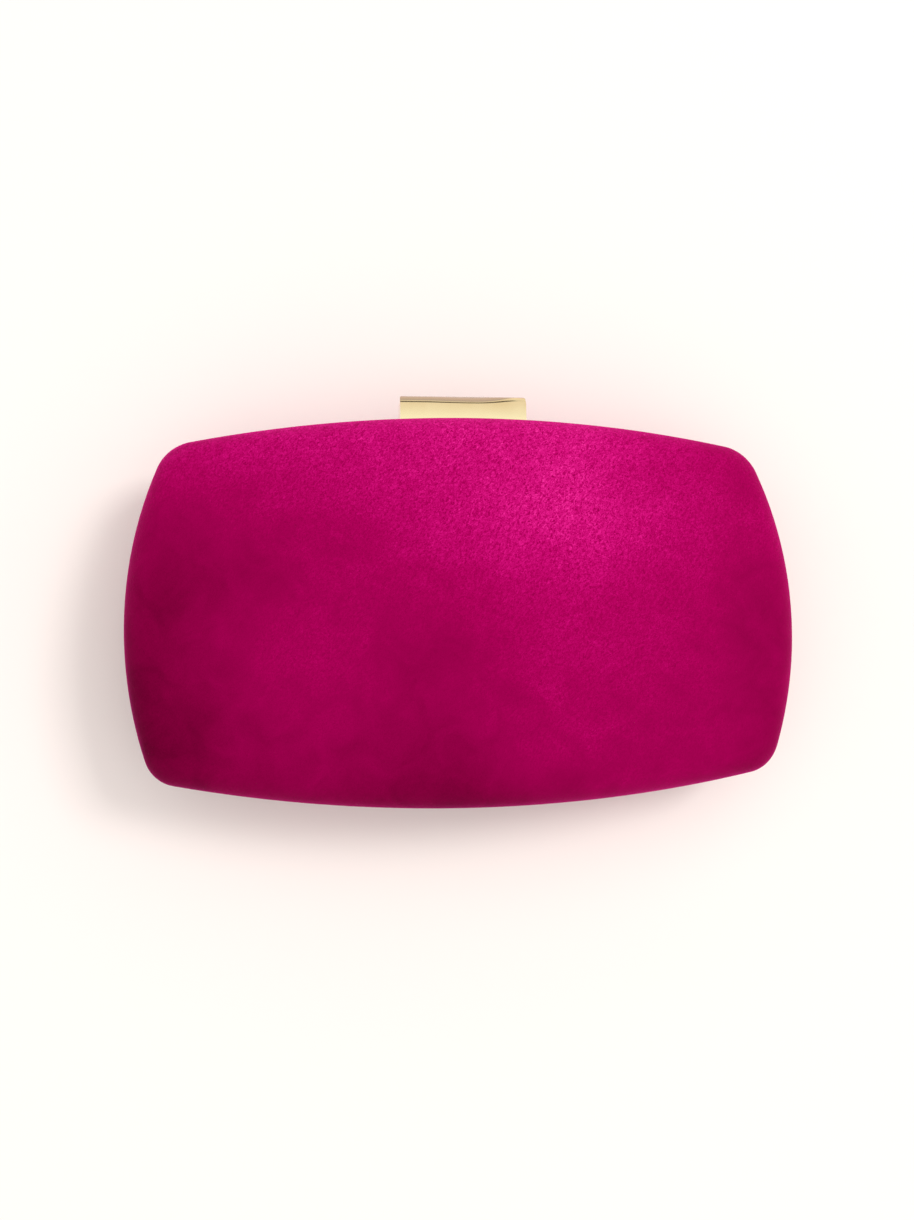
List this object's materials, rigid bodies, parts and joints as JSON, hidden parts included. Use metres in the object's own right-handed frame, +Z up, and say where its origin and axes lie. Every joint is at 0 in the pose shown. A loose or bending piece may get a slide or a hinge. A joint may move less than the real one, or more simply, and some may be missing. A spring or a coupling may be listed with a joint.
{
  "type": "clutch purse",
  "caption": "Hard-shell clutch purse in domed suede-covered halves, hinged along the lower edge and held shut by a rocking metal bar clasp.",
  "frame": {"origin": "centre of the flat on the back face, where the purse rests when it lies on its back", "axes": "+X along the purse's length, +Y from the hinge to the clasp, +Z up out of the front face"},
  "size_m": [0.212, 0.1323, 0.0499],
  "materials": {
    "suede": "short-napped suede",
    "foam": "thin foam padding",
    "board": "moulded shell",
    "satin": "satin lining",
    "gold": "polished pale gold plate",
    "steel": "plain steel"
  },
  "bodies": {
    "back_half": {"back_cover": "suede", "back_padding": "foam", "back_shell": "board", "back_frame": "gold", "back_lining": "satin", "slip_pocket": "satin", "hinge_pin": "steel", "clasp_base": "gold", "clasp_pin": "steel", "clasp_spring": "steel", "chain_loop_left": "gold", "chain_loop_right": "gold", "gusset_left": "satin", "gusset_right": "satin", "hinge_gusset": "satin"},
    "front_half": {"front_cover": "suede", "front_padding": "foam", "front_shell": "board", "front_frame": "gold", "front_lining": "satin", "clasp_keeper": "gold"},
    "clasp": {"clasp_bar": "gold", "clasp_lever": "steel", "lever_rivet_left": "steel", "lever_rivet_right": "steel"}
  },
  "joints": [
    {"name": "lid_hinge", "type": "hinge", "parent": "back_half", "child": "front_half", "pos_m": [0, -0.0592, 0.0244], "axis": [1, 0, 0], "range_deg": [0, 85], "deforming": ["gusset_left", "gusset_right", "hinge_gusset"]},
    {"name": "clasp_rock", "type": "hinge", "parent": "back_half", "child": "clasp", "pos_m": [0, 0.0654, 0.0221], "axis": [-1, 0, 0], "range_deg": [0, 15], "stiffness_Nm_per_rad": 0.02}
  ]
}
